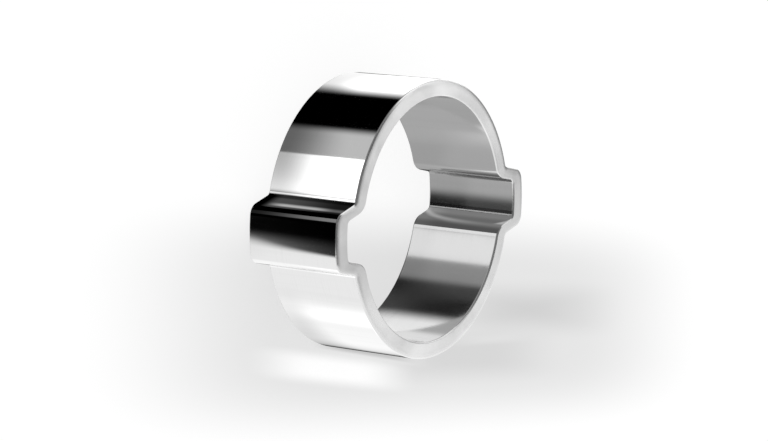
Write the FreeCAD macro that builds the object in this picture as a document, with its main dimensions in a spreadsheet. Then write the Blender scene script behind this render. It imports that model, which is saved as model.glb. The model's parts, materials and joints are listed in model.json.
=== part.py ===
import FreeCAD, Part
import math
import os
import Sketcher

# Two-ear hose clamp, one piece of steel, in millimetres.
#
# Bore axis is +Z and the clamp lies on its lower end face at z = 0.
# The two ears stand out along +X and -X.
# An ear is a length of the ring wall pressed outwards: its wall follows the
# ring, its two flanks are drawn thinner than the ring and close in towards
# the wall, and each flank rolls over a soft shoulder into the bore.

SIZES = (
    ("inside_diameter", 18.0, "bore of the open ring"),
    ("wall_thickness", 1.25, "ring wall between the ears"),
    ("band_width", 7.7, "height of the band along the bore"),
    ("ear_count", 2, "ears, evenly spaced"),
    ("ear_reach", 12.3, "bore axis to the outer face of an ear"),
    ("ear_wall", 1.35, "wall across the top of an ear"),
    ("pocket_width", 2.8, "gap between the flanks at the ear wall"),
    ("flank_slope", 14, "degrees by which each flank leans inwards"),
    ("flank_wall", 0.9, "wall of a flank"),
    ("shoulder_radius", 1.2, "bend from the bore into a flank"),
    ("root_radius", 0.4, "hollow bend from the ring up to an ear"),
    ("pocket_corner_radius", 0.4, "corner inside an ear"),
    ("ear_corner_radius", 0.9, "outer corner of an ear"),
    ("edge_radius", 0.15, "rounding of the cut edges at both ends"),
)

PITCH_TOLERANCE = 1e-4
PARTS_FOLDER = "parts"


def make_sheet(doc):
    """Put every driving size into the sheet under its own name."""
    sheet = doc.addObject("Spreadsheet::Sheet", "sizes")
    for row, (alias, value, note) in enumerate(SIZES, start=1):
        sheet.set(f"A{row}", alias)
        sheet.set(f"B{row}", str(value))
        sheet.set(f"C{row}", note)
        sheet.setAlias(f"B{row}", alias)
    doc.recompute()
    return sheet


def origin_feature(body, role):
    for feature in body.Origin.OriginFeatures:
        if feature.Role == role:
            return feature
    raise ValueError(f"no {role} in {body.Label}")


def new_sketch(body, name):
    sketch = body.newObject("Sketcher::SketchObject", name)
    sketch.AttachmentSupport = (origin_feature(body, "XY_Plane"), [""])
    sketch.MapMode = "FlatFace"
    return sketch


def drive(sketch, constraint, expression):
    """Add a named dimension and bind it to the sheet."""
    name, kind, *elements = constraint
    sketch.addConstraint(Sketcher.Constraint(kind, *elements))
    sketch.renameConstraint(sketch.ConstraintCount - 1, name)
    sketch.setExpression(f"Constraints.{name}", expression)


def circle_sketch(body, name, radius, diameter):
    """One circle about the bore axis."""
    sketch = new_sketch(body, name)
    centre = FreeCAD.Vector(0, 0, 0)
    axis = FreeCAD.Vector(0, 0, 1)
    circle = sketch.addGeometry(Part.Circle(centre, axis, radius))
    sketch.addConstraint(Sketcher.Constraint("Coincident", circle, 3, -1, 1))
    drive(sketch, ("diameter", "Diameter", circle, 2 * radius), diameter)
    return sketch


def ear_sketch(body, name, start, reach, wall_line, offset):
    """Wedge from the bore axis out to one ear face, closed by an arc.

    start holds first guesses: reach, half width and slope in radians.
    wall_line is where the pocket width is measured, and offset is how far
    each flank stands from the middle of that line, square to the flank.
    """
    sketch = new_sketch(body, name)
    radius, half, slope = start
    foot = half + radius * math.tan(slope)
    tip = FreeCAD.Vector(radius, half, 0)
    turn = math.atan2(half, radius)
    axis = FreeCAD.Vector(0, 0, 1)
    rim = Part.Circle(FreeCAD.Vector(0, 0, 0), axis, radius)

    back = sketch.addGeometry(
        Part.LineSegment(FreeCAD.Vector(0, -foot, 0), FreeCAD.Vector(0, foot, 0)))
    upper = sketch.addGeometry(Part.LineSegment(FreeCAD.Vector(0, foot, 0), tip))
    arc = sketch.addGeometry(Part.ArcOfCircle(rim, -turn, turn))
    lower = sketch.addGeometry(
        Part.LineSegment(FreeCAD.Vector(0, -foot, 0), FreeCAD.Vector(tip.x, -tip.y, 0)))
    datum = sketch.addGeometry(Part.Point(FreeCAD.Vector(0.9 * radius, 0, 0)), True)

    sketch.addConstraint([
        Sketcher.Constraint("Coincident", back, 2, upper, 1),
        Sketcher.Constraint("Coincident", upper, 2, arc, 2),
        Sketcher.Constraint("Coincident", arc, 1, lower, 2),
        Sketcher.Constraint("Coincident", lower, 1, back, 1),
        Sketcher.Constraint("Coincident", arc, 3, -1, 1),
        Sketcher.Constraint("PointOnObject", back, 1, -2),
        Sketcher.Constraint("Symmetric", back, 1, back, 2, -1, 1),
        Sketcher.Constraint("Equal", upper, lower),
        Sketcher.Constraint("PointOnObject", datum, 1, -1),
    ])
    drive(sketch, ("reach", "Radius", arc, radius), reach)
    drive(sketch, ("slope", "Angle", lower, slope), "sizes.flank_slope * 1 deg")
    drive(sketch, ("wall_line", "DistanceX", -1, 1, datum, 1, 0.9 * radius), wall_line)
    drive(sketch, ("flank", "Distance", datum, 1, lower, half), offset)
    return sketch


def extrude(body, kind, name, sketch):
    """Pad or pocket a sketch over the whole band."""
    feature = body.newObject(f"PartDesign::{kind}", name)
    feature.Profile = sketch
    feature.setExpression("Length", "sizes.band_width")
    if kind == "Pocket":
        feature.Reversed = True
    body.Document.recompute()
    return feature


def repeat_ears(body, name, feature):
    """Copy a feature of the first ear to the other ears."""
    pattern = body.newObject("PartDesign::PolarPattern", name)
    pattern.Originals = [feature]
    pattern.Axis = (origin_feature(body, "Z_Axis"), [""])
    pattern.Angle = 360
    pattern.setExpression("Occurrences", "sizes.ear_count")
    body.Tip = pattern
    body.Document.recompute()
    return pattern


def standing_edges(shape, radius):
    """Edges parallel to the bore at this distance from its axis."""
    names = []
    for number, edge in enumerate(shape.Edges, start=1):
        box = edge.BoundBox
        upright = max(box.XLength, box.YLength) < PITCH_TOLERANCE
        distance = math.hypot(box.Center.x, box.Center.y)
        if upright and abs(distance - radius) < PITCH_TOLERANCE:
            names.append(f"Edge{number}")
    return names


def end_edges(shape, width):
    """Edges that lie in either end face of the band."""
    names = []
    for number, edge in enumerate(shape.Edges, start=1):
        box = edge.BoundBox
        at_end = min(abs(box.Center.z), abs(box.Center.z - width)) < PITCH_TOLERANCE
        if box.ZLength < PITCH_TOLERANCE and at_end:
            names.append(f"Edge{number}")
    return names


def round_off(body, name, edges, size):
    """Fillet the named edges of what the body holds so far."""
    if not edges:
        raise ValueError(f"no edges for {name}")
    last = body.Tip
    fillet = body.newObject("PartDesign::Fillet", name)
    fillet.Base = (last, edges)
    fillet.setExpression("Radius", f"sizes.{size}")
    body.Tip = fillet
    body.Document.recompute()
    return fillet


def make_band(doc, sheet):
    """The whole clamp: outer form first, then the bore and the pockets."""
    body = doc.addObject("PartDesign::Body", "clamp_band")
    body.Label = "clamp_band"

    bore = sheet.inside_diameter / 2
    outside = bore + sheet.wall_thickness
    slope = math.radians(sheet.flank_slope)
    inner_reach = sheet.ear_reach - sheet.ear_wall
    half = sheet.pocket_width / 2

    wall_line = "sizes.ear_reach - sizes.ear_wall"
    inner_offset = "sizes.pocket_width / 2 * cos(sizes.flank_slope * 1 deg)"
    outer_offset = f"{inner_offset} + sizes.flank_wall"

    disc = circle_sketch(body, "ring_outline", outside,
                         "sizes.inside_diameter + 2 * sizes.wall_thickness")
    extrude(body, "Pad", "ring_blank", disc)
    outline = ear_sketch(body, "ear_outline", (sheet.ear_reach, half + sheet.flank_wall, slope),
                         "sizes.ear_reach", wall_line, outer_offset)
    ear = extrude(body, "Pad", "ear_blank", outline)
    repeat_ears(body, "ear_blanks", ear)

    hole = circle_sketch(body, "bore_outline", bore, "sizes.inside_diameter")
    extrude(body, "Pocket", "bore", hole)
    inside = ear_sketch(body, "pocket_outline", (inner_reach, half, slope),
                        wall_line, wall_line, inner_offset)
    pocket = extrude(body, "Pocket", "ear_pocket", inside)
    repeat_ears(body, "ear_pockets", pocket)

    bends = (
        ("shoulders", bore, "shoulder_radius"),
        ("roots", outside, "root_radius"),
        ("pocket_corners", inner_reach, "pocket_corner_radius"),
        ("ear_corners", sheet.ear_reach, "ear_corner_radius"),
    )
    for name, distance, size in bends:
        round_off(body, name, standing_edges(body.Shape, distance), size)
    rims = end_edges(body.Shape, sheet.band_width)
    round_off(body, "rims", rims, "edge_radius")
    return body


def check(doc, bodies):
    """Stop on any failed feature, loose sketch or broken solid."""
    for item in doc.Objects:
        if "Invalid" in item.State or "Error" in item.State:
            raise RuntimeError(f"{item.Label} failed: {item.State}")
        if item.TypeId == "Sketcher::SketchObject" and not item.FullyConstrained:
            raise RuntimeError(f"{item.Label} is not fully constrained")
    for body in bodies:
        shape = body.Shape
        if shape.isNull() or not shape.isValid() or len(shape.Solids) != 1:
            raise RuntimeError(f"{body.Label} is not one sound solid")


def main():
    doc = FreeCAD.newDocument("ear_hose_clamp")
    sheet = make_sheet(doc)
    band = make_band(doc, sheet)
    doc.recompute()
    check(doc, [band])
    os.makedirs(PARTS_FOLDER, exist_ok=True)
    band.Shape.exportStep(f"{PARTS_FOLDER}/{band.Label}.step")
    box = band.Shape.BoundBox
    print(f"{band.Label}: {box.XLength:.3f} x {box.YLength:.3f} x {box.ZLength:.3f} mm, "
          f"{band.Shape.Volume:.2f} mm3, {len(band.Shape.Faces)} faces")


main()
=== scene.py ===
import json
import math

import bmesh
import bpy
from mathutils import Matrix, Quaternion, Vector


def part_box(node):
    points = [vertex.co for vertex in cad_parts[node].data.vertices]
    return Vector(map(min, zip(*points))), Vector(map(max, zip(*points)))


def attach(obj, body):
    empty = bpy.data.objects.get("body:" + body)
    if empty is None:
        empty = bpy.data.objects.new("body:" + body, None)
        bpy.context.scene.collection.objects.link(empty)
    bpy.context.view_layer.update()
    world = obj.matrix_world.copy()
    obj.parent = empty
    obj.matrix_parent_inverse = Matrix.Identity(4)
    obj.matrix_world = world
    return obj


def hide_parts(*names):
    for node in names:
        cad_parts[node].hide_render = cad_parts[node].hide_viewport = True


# Ear hose clamp: a polished steel band ring with two hollow ears.
#
# The bore axis is +Z, the clamp lies on its lower end face on the floor and
# the ears point along +X and -X. The camera looks down on the upper end face
# and is rolled about its own axis, so that +Y stands up in the picture.

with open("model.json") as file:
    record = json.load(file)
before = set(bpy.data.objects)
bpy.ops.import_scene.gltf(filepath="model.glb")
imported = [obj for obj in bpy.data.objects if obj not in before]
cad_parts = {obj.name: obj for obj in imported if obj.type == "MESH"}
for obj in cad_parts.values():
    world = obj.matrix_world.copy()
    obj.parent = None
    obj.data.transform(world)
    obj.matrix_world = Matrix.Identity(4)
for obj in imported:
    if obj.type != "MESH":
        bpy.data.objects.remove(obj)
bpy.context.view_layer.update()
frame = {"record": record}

MM = 0.001
NODE = "clamp_band"


# Sizes of the band

node_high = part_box(NODE)[1]
mounts = {mount["name"]: mount for mount in frame["record"]["mounts"]}

BAND_WIDTH = node_high[2]
BORE_RADIUS = mounts["hose_bore"]["dims"]["r_mm"] * MM
RING_RADIUS = node_high[1]
EAR_REACH = 12.3 * MM
EAR_WALL = 1.35 * MM
POCKET_WIDTH = 2.8 * MM
FLANK_SLOPE = math.radians(14)
FLANK_WALL = 0.9 * MM
SHOULDER_RADIUS = 1.2 * MM
ROOT_RADIUS = 0.4 * MM
POCKET_CORNER_RADIUS = 0.4 * MM
EAR_CORNER_RADIUS = 0.9 * MM
EDGE_RADIUS = 0.15 * MM
OUTER_RIM_RUN = 0.5 * MM

# Order of the finishes on the band
OUTSIDE_FINISH = 0
BORE_FINISH = 1
END_FINISH = 2

# Steps along each stretch of a quarter outline, and across the band
RING_STEPS = 60
BEND_STEPS = 14
FLANK_STEPS = 6
CORNER_STEPS = 16
CROWN_STEPS = 8
WALL_STEPS = 16
EDGE_STEPS = 12
FACE_STEPS = 3


def polar(centre, radius, angle):
    return Vector((centre[0] + radius * math.cos(angle), centre[1] + radius * math.sin(angle)))


def arc_points(centre, radius, start, end, steps, hollow=False):
    """Points and outward normals along an arc, without its last point."""
    points = []
    for step in range(steps):
        angle = start + (end - start) * step / steps
        normal = polar((0, 0), -1 if hollow else 1, angle)
        points.append((polar(centre, radius, angle), normal))
    return points


def quarter_outline(ring, reach, flank_offset, root, corner):
    """A quarter of one outline, from the top of the ring to the middle of the right ear.

    Every normal points away from the bore axis, for the bore side too.
    flank_offset is how far the flank stands from the middle of the pocket's
    mouth at the ear wall, square to the flank.
    """
    across = Vector((math.sin(FLANK_SLOPE), math.cos(FLANK_SLOPE)))
    flank = (EAR_REACH - EAR_WALL) * across.x + flank_offset
    bend = math.asin((flank + root) / (ring + root)) - FLANK_SLOPE
    bend_centre = polar((0, 0), ring + root, bend)
    corner_angle = math.asin((flank - corner) / (reach - corner)) - FLANK_SLOPE
    corner_centre = polar((0, 0), reach - corner, corner_angle)

    points = arc_points((0, 0), ring, math.pi / 2, bend, RING_STEPS)
    points += arc_points(bend_centre, root, bend - math.pi, -math.pi / 2 - FLANK_SLOPE,
                         BEND_STEPS, hollow=True)
    foot = bend_centre - root * across
    tip = corner_centre + corner * across
    for step in range(FLANK_STEPS):
        points.append((foot.lerp(tip, step / FLANK_STEPS), across))
    points += arc_points(corner_centre, corner, math.pi / 2 - FLANK_SLOPE, corner_angle,
                         CORNER_STEPS)
    points += arc_points((0, 0), reach, corner_angle, 0, CROWN_STEPS)
    points.append((Vector((reach, 0)), Vector((1, 0))))
    return points


def full_outline(quarter):
    """The closed outline, mirrored from its quarter."""
    outline = list(quarter)
    for flip_x, flip_y, backwards in ((1, -1, True), (-1, -1, False), (-1, 1, True)):
        turned = [(Vector((p.x * flip_x, p.y * flip_y)), Vector((n.x * flip_x, n.y * flip_y)))
                  for p, n in quarter]
        if backwards:
            turned.reverse()
        outline += turned[1:]
    return outline[:-1]


def cross_section():
    """Stations round the wall's own section.

    Each is (side, inset, height, lean): side 0 is the bore side and 1 the
    outside, inset is the distance from that side's outline into the wall,
    and lean is the angle of the normal above the middle of the band. A
    station on an end face has side between 0 and 1.
    """
    stations = []

    def wall(side, going_up):
        for step in range(1, WALL_STEPS):
            share = step / WALL_STEPS
            span = BAND_WIDTH - 2 * EDGE_RADIUS
            height = EDGE_RADIUS + span * (share if going_up else 1 - share)
            stations.append((side, 0.0, height, 0.0))

    def edge(side, top, outwards_first):
        run = OUTER_RIM_RUN if side else EDGE_RADIUS
        centre = BAND_WIDTH - EDGE_RADIUS if top else EDGE_RADIUS
        sign = 1 if top else -1
        for step in range(EDGE_STEPS + 1):
            share = step / EDGE_STEPS
            turn = math.pi / 2 * (share if outwards_first else 1 - share)
            inset = run * (1 - math.cos(turn))
            lean = math.atan2(math.sin(turn) / EDGE_RADIUS, math.cos(turn) / run)
            height = centre + sign * EDGE_RADIUS * math.sin(turn)
            stations.append((side, inset, height, sign * lean))

    def face(top, outwards):
        height = BAND_WIDTH if top else 0.0
        lean = math.pi / 2 if top else -math.pi / 2
        for step in range(1, FACE_STEPS + 1):
            share = step / (FACE_STEPS + 1)
            stations.append((share if outwards else 1 - share, EDGE_RADIUS, height, lean))

    wall(1, going_up=True)
    edge(1, top=True, outwards_first=True)
    face(top=True, outwards=False)
    edge(0, top=True, outwards_first=False)
    wall(0, going_up=False)
    edge(0, top=False, outwards_first=True)
    face(top=False, outwards=True)
    edge(1, top=False, outwards_first=False)
    return stations


def new_piece(name, skin):
    """An object from a finished bmesh."""
    mesh = bpy.data.meshes.new(name)
    skin.to_mesh(mesh)
    skin.free()
    piece = bpy.data.objects.new(name, mesh)
    bpy.context.collection.objects.link(piece)
    return piece


def points_round(bore_side, outside, station):
    """Places and normals along the closed line round the band at one station."""
    side, inset, height, lean = station
    on_end_face = 0 < side < 1
    bore_inset = EDGE_RADIUS if on_end_face else inset
    outer_inset = OUTER_RIM_RUN if on_end_face else inset
    points = []
    for (inner, inner_normal), (outer, outer_normal) in zip(bore_side, outside):
        low = inner + inner_normal * bore_inset
        high = outer - outer_normal * outer_inset
        place = low.lerp(high, side)
        sideways = -inner_normal if side == 0 else outer_normal
        normal = Vector((*(sideways * math.cos(lean)), math.sin(lean)))
        points.append(((*place, height), normal))
    return points


def finish_between(station, after):
    """The finish on the strip of skin from one station to the next."""
    side, inset = station[:2]
    if inset > 0 or after[1] > 0:
        return END_FINISH
    return BORE_FINISH if side == 0 else OUTSIDE_FINISH


def make_band():
    """The clamp as one closed skin of quads with exact normals."""
    half_gap = POCKET_WIDTH / 2 * math.cos(FLANK_SLOPE)
    bore_side = full_outline(quarter_outline(
        BORE_RADIUS, EAR_REACH - EAR_WALL, half_gap, SHOULDER_RADIUS, POCKET_CORNER_RADIUS))
    outside = full_outline(quarter_outline(
        RING_RADIUS, EAR_REACH, half_gap + FLANK_WALL, ROOT_RADIUS, EAR_CORNER_RADIUS))

    skin = bmesh.new()
    normals = []
    rings = []
    stations = cross_section()
    for station in stations:
        points = points_round(bore_side, outside, station)
        rings.append([skin.verts.new(place) for place, normal in points])
        normals += [normal for place, normal in points]
    for index, ring in enumerate(rings):
        next_index = (index + 1) % len(rings)
        after = rings[next_index]
        finish = finish_between(stations[index], stations[next_index])
        for step in range(len(ring)):
            nxt = (step + 1) % len(ring)
            face = skin.faces.new((ring[step], after[step], after[nxt], ring[nxt]))
            face.material_index = finish
    bmesh.ops.recalc_face_normals(skin, faces=skin.faces)

    band = new_piece("polished_band", skin)
    band.data.shade_smooth()
    band.data.normals_split_custom_set_from_vertices(normals)
    return band


# Shader helpers

def feed(tree, value, socket):
    """Give a socket either a link or a plain number."""
    if isinstance(value, bpy.types.NodeSocket):
        tree.links.new(value, socket)
    else:
        socket.default_value = value


def math_node(tree, operation, *values):
    """A Math node whose inputs are sockets or numbers."""
    node = tree.nodes.new("ShaderNodeMath")
    node.operation = operation
    for socket, value in zip(node.inputs, values):
        feed(tree, value, socket)
    return node.outputs[0]


def plus(tree, first, second):
    return math_node(tree, "ADD", first, second)


def minus(tree, first, second):
    return math_node(tree, "SUBTRACT", first, second)


def times(tree, first, second):
    return math_node(tree, "MULTIPLY", first, second)


def left_of(tree, share):
    """What a share leaves of 1."""
    return minus(tree, 1.0, share)


def smooth_step(tree, value, low, high):
    """0 below low, 1 above high, eased between them."""
    node = tree.nodes.new("ShaderNodeMapRange")
    node.interpolation_type = "SMOOTHSTEP"
    for name, item in (("Value", value), ("From Min", low), ("From Max", high)):
        feed(tree, item, node.inputs[name])
    return node.outputs["Result"]


def mix_value(tree, factor, first, second):
    """The first value where the factor is 0, the second where it is 1."""
    node = tree.nodes.new("ShaderNodeMix")
    node.data_type = "FLOAT"
    for place, item in ((0, factor), (2, first), (3, second)):
        feed(tree, item, node.inputs[place])
    return node.outputs[0]


def grey(tree, level):
    """A grey colour from one changing level."""
    colour = tree.nodes.new("ShaderNodeCombineColor")
    for label in ("Red", "Green", "Blue"):
        tree.links.new(level, colour.inputs[label])
    return colour.outputs["Color"]


def point_parts(tree, coordinates="Object"):
    """X, Y and Z of the shaded point."""
    place = tree.nodes.new("ShaderNodeTexCoord")
    split = tree.nodes.new("ShaderNodeSeparateXYZ")
    tree.links.new(place.outputs[coordinates], split.inputs[0])
    return split.outputs


def in_mm(tree, length):
    return math_node(tree, "DIVIDE", length, MM)


def compass(tree, x, y):
    """Azimuth in degrees about +Z, from +X."""
    return math_node(tree, "DEGREES", math_node(tree, "ARCTAN2", y, x))


def grey_shader(tree, kind, level):
    """A shader whose colour is a changing grey."""
    node = tree.nodes.new(kind)
    tree.links.new(grey(tree, level), node.inputs["Color"])
    return node.outputs[0]


def add_shaders(tree, first, second):
    node = tree.nodes.new("ShaderNodeAddShader")
    tree.links.new(first, node.inputs[0])
    tree.links.new(second, node.inputs[1])
    return node.outputs[0]


def mix_shaders(tree, factor, first, second):
    node = tree.nodes.new("ShaderNodeMixShader")
    for socket, item in zip(node.inputs, (factor, first, second)):
        tree.links.new(item, socket)
    return node.outputs[0]


def blank_material(name):
    """A material that lights nothing by itself, with an empty node tree."""
    material = bpy.data.materials.new(name)
    material.use_nodes = True
    material.cycles.emission_sampling = "NONE"
    material.node_tree.nodes.clear()
    return material, material.node_tree


def show(tree, surface, kind="ShaderNodeOutputMaterial"):
    """Put a shader on the surface, or on the sky."""
    output = tree.nodes.new(kind)
    tree.links.new(surface, output.inputs["Surface"])


def new_group(name, inputs, outputs):
    """A shader node group with named float inputs and outputs."""
    group = bpy.data.node_groups.new(name, "ShaderNodeTree")
    for label, value in inputs:
        socket = group.interface.new_socket(label, in_out="INPUT", socket_type="NodeSocketFloat")
        socket.default_value = value
    for label in outputs:
        group.interface.new_socket(label, in_out="OUTPUT", socket_type="NodeSocketFloat")
    entry = group.nodes.new("NodeGroupInput")
    leave = group.nodes.new("NodeGroupOutput")
    return group, entry.outputs, leave.inputs


def place_group(tree, group, values, label=""):
    """A node of a group, with its inputs as sockets or numbers."""
    node = tree.nodes.new("ShaderNodeGroup")
    node.node_tree = group
    node.label = label
    for name, value in values.items():
        feed(tree, value, node.inputs[name])
    return node.outputs


def lay_over(tree, group, place, base, layers):
    """Lay masked levels over a plain one, the later ones over the earlier."""
    level = base
    for name, settings in layers:
        values = {label: value for label, value in settings.items() if label != "Level"}
        mask = place_group(tree, group, {**place, **values}, name)["Mask"]
        level = mix_value(tree, mask, level, settings["Level"])
    return level


# The studio that the metal mirrors

def make_card_group():
    """Mask of one studio card, on a drum about the bore axis.

    Azimuth, Start and End are degrees about +Z from +X, and End lies ahead of
    Start. Height, Low and High share one unit. An End Falloff above 1 lets
    the card fade out slowly at its end.
    """
    group, come, leave = new_group("studio_card", (
        ("Azimuth", 0.0), ("Height", 0.0),
        ("Start", 0.0), ("Start Softness", 2.0), ("End", 60.0), ("End Softness", 2.0),
        ("Low", -400.0), ("Low Softness", 5.0), ("High", 400.0), ("High Softness", 5.0),
        ("End Falloff", 1.0),
    ), ("Mask",))

    def edge(value, place, softness):
        return smooth_step(group, value, minus(group, place, softness),
                           plus(group, place, softness))

    # The turn from Start, which wraps well before the card
    ahead = math_node(group, "WRAP", minus(group, come["Azimuth"], come["Start"]), 270.0, -90.0)
    width = minus(group, come["End"], come["Start"])
    past_start = edge(ahead, 0.0, come["Start Softness"])
    past_end = math_node(group, "POWER", edge(ahead, width, come["End Softness"]),
                         come["End Falloff"])
    above_low = edge(come["Height"], come["Low"], come["Low Softness"])
    above_high = edge(come["Height"], come["High"], come["High Softness"])
    across = math_node(group, "MAXIMUM", minus(group, past_start, past_end), 0.0)
    upright = minus(group, above_low, above_high)
    group.links.new(times(group, across, upright), leave["Mask"])
    return group


# Cards on the drum: azimuths in degrees, heights in millimetres
DRUM_RADIUS = 86 * MM
DRUM_LOW = -150 * MM
DRUM_HIGH = 40 * MM
DRUM_SIDES = 180
DRUM_BASE = 1.0
DRUM_CARDS = (
    ("bright front of the table", {
        "Level": 1.14, "Start": -110, "Start Softness": 8, "End": -46, "End Softness": 14}),
    ("glow on the table", {
        "Level": 1.5, "Start": -103, "Start Softness": 8, "End": -91, "End Softness": 5,
        "Low": -53, "Low Softness": 4}),
    ("grey gap behind the clamp", {
        "Level": 0.42, "Start": -34, "Start Softness": 26, "End": 30, "End Softness": 2,
        "High": -36, "High Softness": 8}),
    ("dark line behind the clamp", {
        "Level": 0.04, "Start": -36, "Start Softness": 6, "End": 6, "End Softness": 3,
        "High": -38, "High Softness": 6}),
    ("black flag", {
        "Level": 0.0, "Start": 22, "Start Softness": 2, "End": 115, "End Softness": 0.5}),
    ("overhead panel", {
        "Level": 2.45, "Start": 8, "Start Softness": 3, "End": 56, "End Softness": 9.5}),
    ("upper part of the overhead panel", {
        "Level": 1.15, "Start": 8, "Start Softness": 3, "End": 56, "End Softness": 9.5,
        "Low": -20, "Low Softness": 8}),
    ("dark edge of the overhead panel", {
        "Level": 0.2, "Start": -2, "Start Softness": 3, "End": 10, "End Softness": 3,
        "Low": -34, "Low Softness": 6}),
    ("dark wall behind the clamp", {
        "Level": 0.25, "Start": -8, "Start Softness": 5, "End": 16, "End Softness": 4,
        "Low": -8, "Low Softness": 8}),
    ("floor under the overhead panel", {
        "Level": 0.0, "Start": -4, "Start Softness": 4, "End": 66, "End Softness": 4,
        "High": -60.8, "High Softness": 1.0}),
    ("grey panel", {
        "Level": 0.60, "Start": 104.8, "Start Softness": 4.2, "End": 128.4,
        "End Softness": 0.8}),
    ("side soft box", {
        "Level": 2.2, "Start": 128.4, "Start Softness": 0.8, "End": 161, "End Softness": 2,
        "High": -32, "High Softness": 6}),
    ("dark wall over the panels", {
        "Level": 0.2, "Start": 62, "Start Softness": 8, "End": 165, "End Softness": 6,
        "Low": -30, "Low Softness": 6}),
    ("dark doorway", {
        "Level": 0.01, "Start": 160, "Start Softness": 3, "End": 191, "End Softness": 5,
        "End Falloff": 1.3}),
)

# Cards on the sky above the drum: azimuths and elevations in degrees
SKY_BASE = 0.97
SKY_CARDS = (
    ("dark ceiling", {
        "Level": 0.1, "Start": 8, "Start Softness": 14, "End": 130, "End Softness": 12,
        "Low": 46, "Low Softness": 7}),
    ("light strip under the ceiling", {
        "Level": 1.2, "Start": 4, "Start Softness": 6, "End": 54, "End Softness": 8,
        "Low": 33, "Low Softness": 4, "High": 46, "High Softness": 4}),
    ("dark wall behind the clamp", {
        "Level": 0.3, "Start": -6, "Start Softness": 6, "End": 34, "End Softness": 8,
        "High": 26, "High Softness": 6}),
    ("dark ceiling behind the clamp", {
        "Level": 0.25, "Start": -38, "Start Softness": 8, "End": 12, "End Softness": 14,
        "Low": 54, "Low Softness": 10}),
    ("dark top of the room", {
        "Level": 0.15, "Start": -175, "Start Softness": 10, "End": -25, "End Softness": 10,
        "Low": 69, "Low Softness": 4}),
    ("dark wall over the panels", {
        "Level": 0.2, "Start": 62, "Start Softness": 8, "End": 165, "End Softness": 6}),
    ("dark wall over the doorway", {
        "Level": 0.2, "Start": 158, "Start Softness": 6, "End": 200, "End Softness": 8}),
    ("dark corner beside the doorway", {
        "Level": 0.1, "Start": 190, "Start Softness": 6, "End": 212, "End Softness": 8,
        "Low": 42, "Low Softness": 8}),
)

# Liner in front of the bore wall, a glowing card that paints a plain reflection into the bore in
# place of its own far side: its radius in millimetres, and its plain and its brighter light, the
# brighter above the floor and towards -Y
LINER_RADIUS = 8.9
LINER_SIDES = 180
LINER_LIGHT = (0.42, 0.85)
LINER_FOOT = (-0.2 * MM, 0.4 * MM)
LINER_BRIGHT_SIDE = (4 * MM, 6 * MM)

# Small cards beside the metal, seen by it alone, that paint shade and reflections into it: plan
# points and radii in millimetres, arcs in degrees, and the share of light that passes at the
# lower and the upper end
EAR_CORNER_CENTRE = (-11.325, 1.306)
EAR_CORNER_CARD = 1.2
EAR_FLAG_ARC = (80, 142)
EAR_FLAG_PASSES = (0.0, 0.0)
EAR_SCRIM_ARC = (142, 176)
EAR_SCRIM_PASSES = (0.01, 0.11)
POCKET_SCRIM = ((10.85, -0.95), (10.35, -1.33))
POCKET_SCRIM_PASSES = (0.5, 0.5)
FLANK_CARD = ((-9.95, 2.68), (-11.75, 2.23))
POCKET_SHOULDER_CENTRE = (9.782, -2.95)
POCKET_SHOULDER_CARD = 1.3
POCKET_SHOULDER_ARC = (150, 104)
POCKET_CARD_TIP = (10.87, -1.32)

# Tones of the card at the left ear's upper flank, which the flank mirrors as a painted
# reflection with a painted light streak. Each pair of places is where a change begins and
# ends, in millimetres along x or up the band.
FLANK_CHANGE_Z = (1.8, 6.8)
FLANK_TONES = (0.082, 0.012)
FLANK_ROOT_X = (-10.3, -9.95)
FLANK_ROOT_SHARE = 0.3
FLANK_FOOT_Z = (0.5, 1.5)
STREAK_OUTER_EDGE_X = (-11.64, -11.28)
STREAK_INNER_EDGE_X = (-11.26, -10.84)
STREAK_START_Z = (0.75, 2.45)
STREAK_FADE_Z = (4.85, 6.75)
STREAK_FADE = 0.75
STREAK_TONE = 0.53

# Tones of the card at the right pocket's lower flank, which the flank mirrors as a painted
# reflection with a painted light crescent and gleam, told the same way. The crescent's middle
# is off its upper place by the swing at its foot, and by half as much with each millimetre up.
# The gleam's edge passes through the first number in x, and rises by the second for each
# millimetre outwards.
POCKET_CHANGE_X = (10.0, 10.7)
POCKET_TONES = (0.165, 0.235)
POCKET_REAR_Z = (0.3, 2.3)
POCKET_REAR_GAIN = 0.35
POCKET_BORE_SIDE_X = (8.8, 9.3)
POCKET_BORE_SIDE_SHARE = 0.6
CRESCENT_UPPER_X = 9.25
CRESCENT_SWING = 1.07
CRESCENT_FOOT_Z = 0.35
CRESCENT_HALF_WIDTH = 0.5
CRESCENT_CHANGE_Z = (1.3, 6.3)
CRESCENT_TONES = (0.21, 0.06)
GLEAM_LINE = (9.52, 0.9)
GLEAM_EDGE_Z = (6.55, 7.0)
GLEAM_EDGE_X = (9.35, 9.75)
GLEAM_TONE = 0.5


def only_for_metal(piece):
    """Show a studio piece to mirroring metal alone."""
    piece.visible_camera = False
    piece.visible_diffuse = False
    piece.visible_transmission = False
    piece.visible_volume_scatter = False
    piece.visible_shadow = False


def make_drum(card):
    """Cards round the clamp."""
    shell = bmesh.new()
    bmesh.ops.create_cone(shell, cap_ends=True, segments=DRUM_SIDES, radius1=DRUM_RADIUS,
                          radius2=DRUM_RADIUS, depth=DRUM_HIGH - DRUM_LOW)
    bmesh.ops.translate(shell, verts=shell.verts, vec=(0, 0, (DRUM_HIGH + DRUM_LOW) / 2))
    lid = [face for face in shell.faces if face.calc_center_median().z > DRUM_HIGH - MM]
    bmesh.ops.delete(shell, geom=lid, context="FACES_ONLY")
    drum = new_piece("studio_drum", shell)

    material, tree = blank_material("studio_cards")
    x, y, z = point_parts(tree)
    place = {"Azimuth": compass(tree, x, y), "Height": in_mm(tree, z)}
    level = lay_over(tree, card, place, DRUM_BASE, DRUM_CARDS)
    show(tree, grey_shader(tree, "ShaderNodeEmission", level))
    drum.data.materials.append(material)
    only_for_metal(drum)


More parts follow.
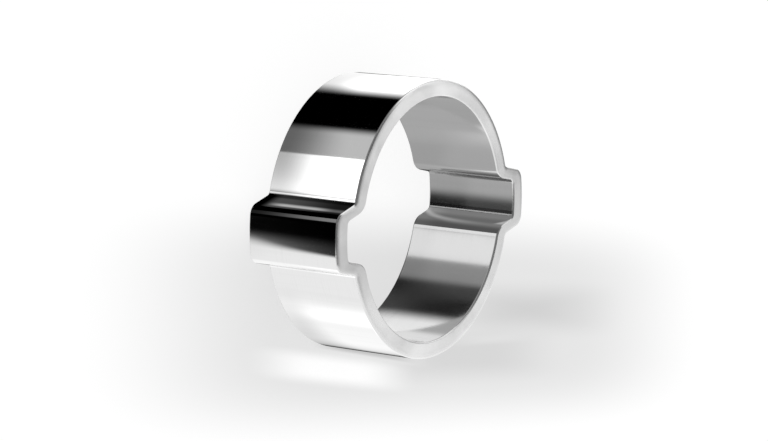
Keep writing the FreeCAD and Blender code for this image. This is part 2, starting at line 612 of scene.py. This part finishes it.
def make_small_card(name, corners, low, high):
    """A narrow upright card through the given plan points."""
    sheet = bmesh.new()
    feet = [sheet.verts.new((x * MM, y * MM, low)) for x, y in corners]
    tops = [sheet.verts.new((x * MM, y * MM, high)) for x, y in corners]
    for step in range(len(corners) - 1):
        sheet.faces.new((feet[step], feet[step + 1], tops[step + 1], tops[step]))
    card = new_piece(name, sheet)
    only_for_metal(card)
    return card


def arc_corners(centre, radius, start, end, steps=14):
    """Plan points in millimetres along an arc, its angles in degrees."""
    corners = []
    for step in range(steps + 1):
        angle = math.radians(start + (end - start) * step / steps)
        corners.append((centre[0] + radius * math.cos(angle), centre[1] + radius * math.sin(angle)))
    return corners


def add_painted_shade_sheet(name, corners, lower_end, upper_end):
    """Dark sheet, seen by the metal alone, that paints shade into its reflection; it lets through
    as much light as is given at each end.
    """
    card = make_small_card(name, corners, -1 * MM, BAND_WIDTH)
    material, tree = blank_material(name + "_cloth")
    height = smooth_step(tree, point_parts(tree)["Z"], 0.0, BAND_WIDTH)
    passed = mix_value(tree, height, lower_end, upper_end)
    show(tree, grey_shader(tree, "ShaderNodeBsdfTransparent", passed))
    card.data.materials.append(material)


def add_painted_reflection_card(name, corners, tone):
    """A glowing card whose tones the metal mirrors as a painted reflection; the given function
    works them out from x and z in millimetres.
    """
    card = make_small_card(name, corners, 0.0, BAND_WIDTH)
    material, tree = blank_material(name + "_light")
    x, y, z = point_parts(tree)
    level = tone(tree, in_mm(tree, x), in_mm(tree, z))
    show(tree, grey_shader(tree, "ShaderNodeEmission", level))
    card.data.materials.append(material)


def flank_painted_reflection(tree, x, z):
    """Painted reflection on the left ear's upper flank: its tones, with a painted light streak
    along its outer bend.
    """
    at_root = mix_value(tree, smooth_step(tree, x, *FLANK_ROOT_X), 1.0, FLANK_ROOT_SHARE)
    plain = mix_value(tree, smooth_step(tree, z, *FLANK_CHANGE_Z), *FLANK_TONES)
    plain = times(tree, times(tree, plain, at_root), smooth_step(tree, z, *FLANK_FOOT_Z))

    across = minus(tree, smooth_step(tree, x, *STREAK_OUTER_EDGE_X),
                   smooth_step(tree, x, *STREAK_INNER_EDGE_X))
    fade = times(tree, smooth_step(tree, z, *STREAK_FADE_Z), STREAK_FADE)
    along = minus(tree, smooth_step(tree, z, *STREAK_START_Z), fade)
    return mix_value(tree, times(tree, across, along), plain, STREAK_TONE)


def crescent_light(tree, x, z):
    """A painted light crescent, brightest along its middle line."""
    swing = math_node(tree, "POWER", 0.5, minus(tree, z, CRESCENT_FOOT_Z))
    middle = plus(tree, CRESCENT_UPPER_X, times(tree, swing, CRESCENT_SWING))
    off = math_node(tree, "ABSOLUTE", minus(tree, x, middle))
    shape = left_of(tree, smooth_step(tree, off, 0.0, CRESCENT_HALF_WIDTH))
    tone = mix_value(tree, smooth_step(tree, z, *CRESCENT_CHANGE_Z), *CRESCENT_TONES)
    return times(tree, shape, tone)


def pocket_painted_reflection(tree, x, z):
    """Painted reflection on the right pocket's lower flank and shoulder: its tones, with a painted
    gleam at the upper end.
    """
    rear = times(tree, left_of(tree, smooth_step(tree, z, *POCKET_REAR_Z)), POCKET_REAR_GAIN)
    plain = mix_value(tree, smooth_step(tree, x, *POCKET_CHANGE_X), *POCKET_TONES)
    plain = times(tree, plain, plus(tree, 1.0, rear))
    level = plus(tree, plain, crescent_light(tree, x, z))
    level = times(tree, level, mix_value(tree, smooth_step(tree, x, *POCKET_BORE_SIDE_X),
                                         POCKET_BORE_SIDE_SHARE, 1.0))

    line_x, slope = GLEAM_LINE
    front = minus(tree, z, times(tree, minus(tree, x, line_x), slope))
    gleam = times(tree, smooth_step(tree, front, *GLEAM_EDGE_Z),
                  smooth_step(tree, x, *GLEAM_EDGE_X))
    return mix_value(tree, gleam, level, GLEAM_TONE)


def make_bore_liner():
    """Painted reflection: plain light that the bore sees in place of its own far side.

    It shows only from the bore axis, so the wall behind it looks through.
    """
    liner = make_small_card("bore_liner", arc_corners((0, 0), LINER_RADIUS, 360, 0, LINER_SIDES),
                            0.0, BAND_WIDTH)
    material, tree = blank_material("bore_liner_light")
    x, y, z = point_parts(tree)
    above_floor = smooth_step(tree, z, *LINER_FOOT)
    bright_side = smooth_step(tree, times(tree, y, -1.0), *LINER_BRIGHT_SIDE)
    level = mix_value(tree, times(tree, above_floor, bright_side), *LINER_LIGHT)
    glow = grey_shader(tree, "ShaderNodeEmission", level)
    clear = tree.nodes.new("ShaderNodeBsdfTransparent").outputs[0]
    facing = tree.nodes.new("ShaderNodeNewGeometry")
    show(tree, mix_shaders(tree, facing.outputs["Backfacing"], glow, clear))
    liner.data.materials.append(material)


def make_sky(card):
    """White to the eye, plain light for the floor, and cards for the metal."""
    world = bpy.data.worlds.new("studio")
    bpy.context.scene.world = world
    world.use_nodes = True
    tree = world.node_tree
    tree.nodes.clear()

    x, y, z = point_parts(tree, "Generated")
    elevation = math_node(tree, "DEGREES", math_node(tree, "ARCSINE", z))
    place = {"Azimuth": compass(tree, x, y), "Height": elevation}
    level = lay_over(tree, card, place, SKY_BASE, SKY_CARDS)

    path = tree.nodes.new("ShaderNodeLightPath")
    plain = mix_value(tree, path.outputs["Is Camera Ray"], SKY_BASE, 1.0)
    seen = mix_value(tree, path.outputs["Is Glossy Ray"], plain, level)
    show(tree, grey_shader(tree, "ShaderNodeBackground", seen), "ShaderNodeOutputWorld")


# The floor

FLOOR_RADIUS = 0.6
FLOOR_SIDES = 96
FLOOR_COLOUR = 0.92
FLOOR_WHITE = 1.02
LIT_SHARE = 0.15

# Painted shade that the metal alone sees on the floor near the clamp, standing for the shade
# the clamp throws on it. Turns are degrees from the middle of the lit side, and lengths are
# millimetres. The upper shade fades on the far side of the clamp.
LIT_SIDE = 198
UPPER_TURN = (4.0, 50.0)
UPPER_DEPTH = 0.75
UPPER_START = 0.4
UPPER_REACH = 8.5
FAR_TURN = (60.0, 110.0)
FAR_DEPTH_LOSS = 0.25
FAR_REACH_LOSS = 4.5
LOWER_TURN = (4.0, 44.0)
LOWER_DEPTH = 0.29
LOWER_REACH = 3.2

# Painted shade: a dark wedge beside the left ear, seen by the metal alone. Its middle line and
# half spread change by the second number for each millimetre out from the ear, and the light
# left in it is multiplied by the second.
WEDGE_LINE = (0.23, 0.449)
WEDGE_SPREAD = (0.66, 0.027)
WEDGE_LIGHT = (0.33, 0.8)
WEDGE_TOP = (0.8, 2.0)
WEDGE_TOP_RISE = 0.1
WEDGE_FOOT = (-0.2, 0.0)

# Floor in the bore as the metal sees it, with painted shade and a painted glow: the share of
# the flanks counted as inside, the share of light passed, and the glow at its two sides
FLANK_SHARE = 0.6
BORE_SHADE = 0.39
BORE_GLOW_PLACE = (4.7, 6.4)
BORE_GLOW = (0.058, 0.016)

# Painted shade and light on the floor to the eye: places and half sizes in millimetres, edges as
# shares of the half size, and skew as millimetres across for each one along.
# A power of 2 would make a patch an oval, and 4 makes it squarer.
PATCH_POWER = 4.0
PAINTED_FLOOR_PATCHES = (
    ("soft shade", {
        "Level": 0.80, "Centre X": 12.0, "Centre Y": -10.6, "Half Length": 46.0,
        "Half Width": 10.0, "Inner Edge": 0.45, "Skew": 0.177}),
    ("deeper shade on the right", {
        "Level": 0.65, "Centre X": 25.5, "Centre Y": -12.0, "Half Length": 17.0,
        "Half Width": 2.8, "Inner Edge": 0.0, "Skew": 0.177}),
    ("deeper shade below right", {
        "Level": 0.69, "Centre X": 16.5, "Centre Y": -14.1, "Half Length": 16.0,
        "Half Width": 2.6, "Inner Edge": 0.2, "Skew": 0.177}),
    ("light thrown down by the band", {
        "Level": 1.02, "Centre X": -1.8, "Centre Y": -11.9, "Half Length": 11.5,
        "Half Width": 1.5, "Inner Edge": 0.25, "Skew": 0.26}),
    ("soft shade under the ring", {
        "Level": 0.84, "Centre X": 3.0, "Centre Y": -11.5, "Half Length": 9.0,
        "Half Width": 0.65, "Inner Edge": 0.0, "Skew": 0.283}),
    ("darker shade close to the ring", {
        "Level": 0.58, "Centre X": 2.4, "Centre Y": -11.35, "Half Length": 7.6,
        "Half Width": 0.34, "Inner Edge": 0.0, "Even Share": 0.3, "Skew": 0.283}),
    ("light beside the bore", {
        "Level": 0.76, "Centre X": 21.0, "Centre Y": -13.6, "Half Length": 9.0,
        "Half Width": 0.6, "Inner Edge": 0.0, "Skew": 0.14}),
)


def make_patch_group():
    """Mask of a soft rounded patch on the floor, even along a share of its length."""
    group, come, leave = new_group("floor_patch", (
        ("X", 0.0), ("Y", 0.0), ("Centre X", 0.0), ("Centre Y", 0.0),
        ("Half Length", 10.0), ("Half Width", 10.0), ("Inner Edge", 0.6), ("Skew", 0.0),
        ("Even Share", 0.0),
    ), ("Mask",))

    def share(value, half_size):
        return math_node(group, "ABSOLUTE", math_node(group, "DIVIDE", value, half_size))

    along = minus(group, come["X"], come["Centre X"])
    across = minus(group, come["Y"], come["Centre Y"])
    across = plus(group, across, times(group, along, come["Skew"]))
    along = math_node(group, "DIVIDE",
                      minus(group, share(along, come["Half Length"]), come["Even Share"]),
                      left_of(group, come["Even Share"]))
    along = math_node(group, "MAXIMUM", along, 0.0)
    across = share(across, come["Half Width"])
    away = plus(group, math_node(group, "POWER", along, PATCH_POWER),
                math_node(group, "POWER", across, PATCH_POWER))
    away = math_node(group, "POWER", away, 1 / PATCH_POWER)
    group.links.new(left_of(group, smooth_step(group, away, come["Inner Edge"], 1.0)),
                    leave["Mask"])
    return group


def shade_round_ring(group, x, y, radius):
    """Light left by the painted shade that runs round the outside of the ring."""
    turn = math_node(group, "WRAP", minus(group, compass(group, x, y), LIT_SIDE), 180.0, -180.0)
    back = times(group, turn, -1.0)
    away = minus(group, radius, RING_RADIUS / MM)

    far = smooth_step(group, back, *FAR_TURN)
    upper = times(group, smooth_step(group, back, *UPPER_TURN), UPPER_DEPTH)
    upper = times(group, upper, left_of(group, times(group, far, FAR_DEPTH_LOSS)))
    reach = minus(group, UPPER_REACH, times(group, far, FAR_REACH_LOSS))
    upper = times(group, upper, left_of(group, smooth_step(group, away, UPPER_START, reach)))

    lower = times(group, smooth_step(group, turn, *LOWER_TURN), LOWER_DEPTH)
    lower = times(group, lower, left_of(group, smooth_step(group, away, 0.0, LOWER_REACH)))
    return left_of(group, plus(group, upper, lower))


def shade_beside_ear(group, x, y):
    """Light left by the painted shade wedge beside the left ear, deeper and sharper further out."""
    out = minus(group, -EAR_REACH / MM, x)
    start, slope = WEDGE_LINE
    above = plus(group, plus(group, y, start), times(group, out, slope))
    start, narrowing = WEDGE_SPREAD
    spread = minus(group, start, times(group, out, narrowing))
    share, fading = WEDGE_LIGHT
    depth = left_of(group, times(group, math_node(group, "POWER", fading, out), share))
    top = minus(group, y, times(group, out, WEDGE_TOP_RISE))

    wedge = smooth_step(group, above, times(group, spread, -1.0), spread)
    wedge = times(group, wedge, left_of(group, smooth_step(group, top, *WEDGE_TOP)))
    wedge = times(group, times(group, wedge, depth), smooth_step(group, out, *WEDGE_FOOT))
    return left_of(group, wedge)


def inside_clamp(group, x, y, radius):
    """1 in the bore and the pockets, out to about the middle of the walls."""
    in_ring = math_node(group, "LESS_THAN", radius, (RING_RADIUS + BORE_RADIUS) / 2 / MM)
    within_reach = math_node(group, "LESS_THAN", math_node(group, "ABSOLUTE", x),
                             (EAR_REACH - EAR_WALL / 2) / MM)
    within_width = math_node(group, "LESS_THAN", math_node(group, "ABSOLUTE", y),
                             (POCKET_WIDTH / 2 + FLANK_WALL * FLANK_SHARE) / MM)
    return math_node(group, "MAXIMUM", in_ring, times(group, within_reach, within_width))


def make_floor_shade_group():
    """How much light the floor round the clamp passes on to the metal."""
    group, come, leave = new_group("floor_shade", (
        ("X", 0.0), ("Y", 0.0),
    ), ("Light", "In Bore"))
    x, y = come["X"], come["Y"]
    radius = math_node(group, "SQRT", plus(group, times(group, x, x), times(group, y, y)))
    outside = times(group, shade_round_ring(group, x, y, radius), shade_beside_ear(group, x, y))
    inside = inside_clamp(group, x, y, radius)
    group.links.new(mix_value(group, inside, outside, BORE_SHADE), leave["Light"])
    group.links.new(inside, leave["In Bore"])
    return group


def floor_to_the_eye(tree, place):
    """Painted shade and light patches over white, with a share of the real light and shadow."""
    # The painted shade and light patches, laid over plain white.
    tone = lay_over(tree, make_patch_group(), place, FLOOR_WHITE, PAINTED_FLOOR_PATCHES)
    painted_floor_tone = grey_shader(tree, "ShaderNodeEmission", times(tree, tone, 1 - LIT_SHARE))
    lit = grey_shader(tree, "ShaderNodeBsdfDiffuse", times(tree, tone, LIT_SHARE))
    return add_shaders(tree, painted_floor_tone, lit)


def floor_to_the_metal(tree, place):
    """The cards below, dimmed by painted shade near the clamp, and a painted glow in the bore."""
    shade = place_group(tree, make_floor_shade_group(), place)
    passed = grey_shader(tree, "ShaderNodeBsdfTransparent", shade["Light"])
    bore_glow = mix_value(tree, smooth_step(tree, place["X"], *BORE_GLOW_PLACE), *BORE_GLOW)
    glow = grey_shader(tree, "ShaderNodeEmission", times(tree, shade["In Bore"], bore_glow))
    return add_shaders(tree, passed, glow)


def make_floor():
    """Pale floor at z = 0 that keeps the clamp's shadow, with painted shade and light laid on it.
    """
    bpy.ops.mesh.primitive_circle_add(vertices=FLOOR_SIDES, radius=FLOOR_RADIUS, fill_type="NGON")
    floor = bpy.context.object
    floor.name = "floor"
    material = bpy.data.materials.new("pale_floor")
    material.use_nodes = True
    tree = material.node_tree
    tree.nodes.clear()
    parts = point_parts(tree)
    place = {"X": in_mm(tree, parts["X"]), "Y": in_mm(tree, parts["Y"])}

    plain = tree.nodes.new("ShaderNodeBsdfDiffuse")
    plain.inputs["Color"].default_value = (FLOOR_COLOUR,) * 3 + (1,)
    path = tree.nodes.new("ShaderNodeLightPath")
    surface = mix_shaders(tree, path.outputs["Is Camera Ray"], plain.outputs[0],
                          floor_to_the_eye(tree, place))
    surface = mix_shaders(tree, path.outputs["Is Glossy Ray"], surface,
                          floor_to_the_metal(tree, place))
    show(tree, surface)
    floor.data.materials.append(material)


# Finishes of the steel

STEEL_COLOUR = 0.80

# What the fine marks add to a polished wall or take from it
POLISH_COLOUR = STEEL_COLOUR + 0.01
LINES_ROUGHNESS = 0.01
LINES_DARKENING = 0.015
HAIRS_ROUGHNESS = 0.02
HAIRS_DARKENING = 0.015

# Satin end faces: each pair is for clear and hazy places
RIM_ROUGHNESS = 0.10
FACE_ROUGHNESS = (0.27, 0.36)
FACE_COLOUR = (0.65, 0.52)
FACE_HAIRS_ROUGHNESS = 0.08
GRAIN_CONTRAST = 0.08
GRAIN_DEPTH = 0.002 * MM

# Painted highlights on the end faces, brighter in these places: where each begins and ends, in
# millimetres from the middle line through the ears, and the gain
BRIGHTER_UPPER_HALF = (5, 9.5, 0.11)
BRIGHTER_TOP_AND_BOTTOM = (8.2, 9.5, 0.08)
BRIGHTER_AWAY_FROM_EARS = (2, 7, 0.13)


def stretched_place(tree, scale, turn=(0, 0, 0)):
    """Object coordinates in millimetres, stretched and turned for a texture."""
    place = tree.nodes.new("ShaderNodeTexCoord")
    mapping = tree.nodes.new("ShaderNodeMapping")
    mapping.inputs["Rotation"].default_value = [math.radians(angle) for angle in turn]
    mapping.inputs["Scale"].default_value = [value / MM for value in scale]
    tree.links.new(place.outputs["Object"], mapping.inputs["Vector"])
    return mapping.outputs["Vector"]


def noise(tree, vector, scale=1.0, detail=2.0, roughness=0.5):
    node = tree.nodes.new("ShaderNodeTexNoise")
    for name, value in (("Scale", scale), ("Detail", detail), ("Roughness", roughness)):
        feed(tree, value, node.inputs[name])
    tree.links.new(vector, node.inputs["Vector"])
    return node.outputs["Fac"]


def make_drawn_lines_group():
    """Very fine lines across the strip, along the bore, left by polishing."""
    group, come, leave = new_group("drawn_lines", (("Density", 1.0),), ("Height", "Sheen"))
    lines = noise(group, stretched_place(group, (2.2, 2.2, 0.05)), detail=3.0)
    broad = noise(group, stretched_place(group, (0.5, 0.5, 0.03)), detail=1.0)
    height = plus(group, times(group, lines, 0.35), broad)
    group.links.new(times(group, height, come["Density"]), leave["Height"])
    group.links.new(smooth_step(group, lines, 0.45, 0.7), leave["Sheen"])
    return group


def make_scratches_group():
    """Sparse hairlines from handling, in a few directions."""
    group, come, leave = new_group("hairline_scratches", (("Threshold", 0.68),), ("Mask",))
    mask = 0.0
    for turn, drift in (((0, 20, 35), 0.0), ((0, -35, -20), 0.01), ((0, 70, 80), 0.0)):
        thin = noise(group, stretched_place(group, (0.35, 0.35, 14.0), turn), detail=0.0)
        line = smooth_step(group, thin, plus(group, come["Threshold"], drift),
                           plus(group, come["Threshold"], 0.06 + drift))
        mask = math_node(group, "MAXIMUM", mask, line)
    group.links.new(mask, leave["Mask"])
    return group


def make_haze_group():
    """Slow, cloudy change of the polish."""
    group, come, leave = new_group("polish_haze", (("Scale", 0.25),), ("Mask",))
    cloud = noise(group, stretched_place(group, (1, 1, 1)), come["Scale"], detail=4.0)
    group.links.new(smooth_step(group, cloud, 0.35, 0.7), leave["Mask"])
    return group


def make_rim_group():
    """Mask that rises from 0 on the walls to 1 on the flat of an end face."""
    group, come, leave = new_group("rim_round", (("Start", 0.0), ("End", 0.15)), ("Mask",))
    half = BAND_WIDTH / 2 / MM
    height = in_mm(group, point_parts(group)["Z"])
    from_middle = math_node(group, "ABSOLUTE", minus(group, height, half))
    into_edge = minus(group, from_middle, half - EDGE_RADIUS / MM)
    group.links.new(smooth_step(group, into_edge, come["Start"], come["End"]), leave["Mask"])
    return group


drawn_lines = make_drawn_lines_group()
hairline_scratches = make_scratches_group()
polish_haze = make_haze_group()
rim_round = make_rim_group()


def bump(tree, height, distance):
    node = tree.nodes.new("ShaderNodeBump")
    node.inputs["Distance"].default_value = distance
    tree.links.new(height, node.inputs["Height"])
    return node.outputs["Normal"]


def new_steel(name):
    material = bpy.data.materials.new(name)
    material.use_nodes = True
    shader = material.node_tree.nodes["Principled BSDF"]
    shader.inputs["Metallic"].default_value = 1.0
    return material, material.node_tree, shader


def make_polish(name, smooth, hazy, line_depth):
    """Bright polished steel wall: haze, drawn lines and a few hairlines."""
    material, tree, shader = new_steel(name)
    lines = place_group(tree, drawn_lines, {"Density": 1.0})
    haze = place_group(tree, polish_haze, {"Scale": 0.22})["Mask"]
    hairs = place_group(tree, hairline_scratches, {"Threshold": 0.70})["Mask"]

    rough = mix_value(tree, haze, smooth, hazy)
    rough = plus(tree, rough, times(tree, lines["Sheen"], LINES_ROUGHNESS))
    rough = plus(tree, rough, times(tree, hairs, HAIRS_ROUGHNESS))
    tree.links.new(rough, shader.inputs["Roughness"])

    level = minus(tree, POLISH_COLOUR, times(tree, lines["Sheen"], LINES_DARKENING))
    level = minus(tree, level, times(tree, hairs, HAIRS_DARKENING))
    tree.links.new(grey(tree, level), shader.inputs["Base Color"])
    tree.links.new(bump(tree, lines["Height"], line_depth), shader.inputs["Normal"])
    return material


def make_outside_polish():
    return make_polish("outside_polish", smooth=0.04, hazy=0.07, line_depth=0.00012 * MM)


def make_bore_polish():
    return make_polish("bore_polish", smooth=0.11, hazy=0.14, line_depth=0.0003 * MM)


def make_satin_end():
    """Cut end faces, tumbled to a satin, with their rims polished round and painted highlights on
    the faces.
    """
    material, tree, shader = new_steel("satin_end")
    rim = place_group(tree, rim_round, {"Start": 0.03, "End": 0.15})["Mask"]
    haze = place_group(tree, polish_haze, {"Scale": 0.16})["Mask"]
    hairs = place_group(tree, hairline_scratches, {"Threshold": 0.66})["Mask"]
    grain = noise(tree, stretched_place(tree, (9, 9, 9)), detail=3.0, roughness=0.6)

    face_rough = mix_value(tree, haze, *FACE_ROUGHNESS)
    face_rough = plus(tree, face_rough, times(tree, hairs, FACE_HAIRS_ROUGHNESS))
    tree.links.new(mix_value(tree, rim, RIM_ROUGHNESS, face_rough), shader.inputs["Roughness"])

    upwards = point_parts(tree)["Y"]
    either_way = math_node(tree, "ABSOLUTE", upwards)
    face_level = mix_value(tree, haze, *FACE_COLOUR)
    # Painted highlights: the face is made brighter towards +Y, towards top and bottom, and away
    # from the ears.
    for distance, (start, end, gain) in ((upwards, BRIGHTER_UPPER_HALF),
                                         (either_way, BRIGHTER_TOP_AND_BOTTOM),
                                         (either_way, BRIGHTER_AWAY_FROM_EARS)):
        painted_highlight = smooth_step(tree, distance, start * MM, end * MM)
        face_level = plus(tree, face_level, times(tree, painted_highlight, gain))
    face_level = plus(tree, face_level, times(tree, minus(tree, grain, 0.5), GRAIN_CONTRAST))
    level = mix_value(tree, rim, STEEL_COLOUR, face_level)
    tree.links.new(grey(tree, level), shader.inputs["Base Color"])
    tree.links.new(bump(tree, grain, GRAIN_DEPTH), shader.inputs["Normal"])
    return material


# Camera

CAMERA_AIM = Vector((-0.341, -0.420, 3.485)) * MM
CAMERA_DISTANCE = 216.7 * MM
CAMERA_AZIMUTH = math.radians(167.84)
CAMERA_ELEVATION = math.radians(33.80)
CAMERA_ROLL = math.radians(96.69)
CAMERA_LENS = 137.94
CAMERA_SENSOR = 36


def make_camera():
    data = bpy.data.cameras.new("camera")
    data.lens = CAMERA_LENS
    data.sensor_width = CAMERA_SENSOR
    data.clip_start = 0.01
    data.clip_end = 10
    camera = bpy.data.objects.new("camera", data)
    bpy.context.collection.objects.link(camera)
    flat = math.cos(CAMERA_ELEVATION)
    back = Vector((flat * math.cos(CAMERA_AZIMUTH), flat * math.sin(CAMERA_AZIMUTH),
                   math.sin(CAMERA_ELEVATION)))
    camera.location = CAMERA_AIM + back * CAMERA_DISTANCE
    camera.rotation_mode = "QUATERNION"
    level = back.to_track_quat("Z", "Y")
    camera.rotation_quaternion = level @ Quaternion((0, 0, 1), CAMERA_ROLL)
    bpy.context.scene.camera = camera


def make_small_cards():
    """The small cards at the left ear, in the right pocket and in the bore, which paint shade and
    reflections into the metal.
    """
    make_bore_liner()
    ear_shade_flag = arc_corners(EAR_CORNER_CENTRE, EAR_CORNER_CARD, *EAR_FLAG_ARC)
    ear_shade_scrim = arc_corners(EAR_CORNER_CENTRE, EAR_CORNER_CARD, *EAR_SCRIM_ARC)
    shoulder = arc_corners(POCKET_SHOULDER_CENTRE, POCKET_SHOULDER_CARD, *POCKET_SHOULDER_ARC)
    # Dark sheets that paint shade into the metal's reflection at the left ear's corner and in the
    # right pocket.
    add_painted_shade_sheet("ear_shade_flag", ear_shade_flag, *EAR_FLAG_PASSES)
    add_painted_shade_sheet("ear_shade_scrim", ear_shade_scrim, *EAR_SCRIM_PASSES)
    add_painted_shade_sheet("pocket_shade_scrim", POCKET_SCRIM, *POCKET_SCRIM_PASSES)
    add_painted_reflection_card("flank_card", FLANK_CARD, flank_painted_reflection)
    add_painted_reflection_card("pocket_card", shoulder + [POCKET_CARD_TIP], pocket_painted_reflection)


band = make_band()
for finish in (make_outside_polish(), make_bore_polish(), make_satin_end()):
    band.data.materials.append(finish)
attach(band, "root")
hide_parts(NODE)

studio_card = make_card_group()
make_drum(studio_card)
make_small_cards()
make_sky(studio_card)
make_floor()
make_camera()
bpy.context.scene.view_settings.view_transform = "Standard"
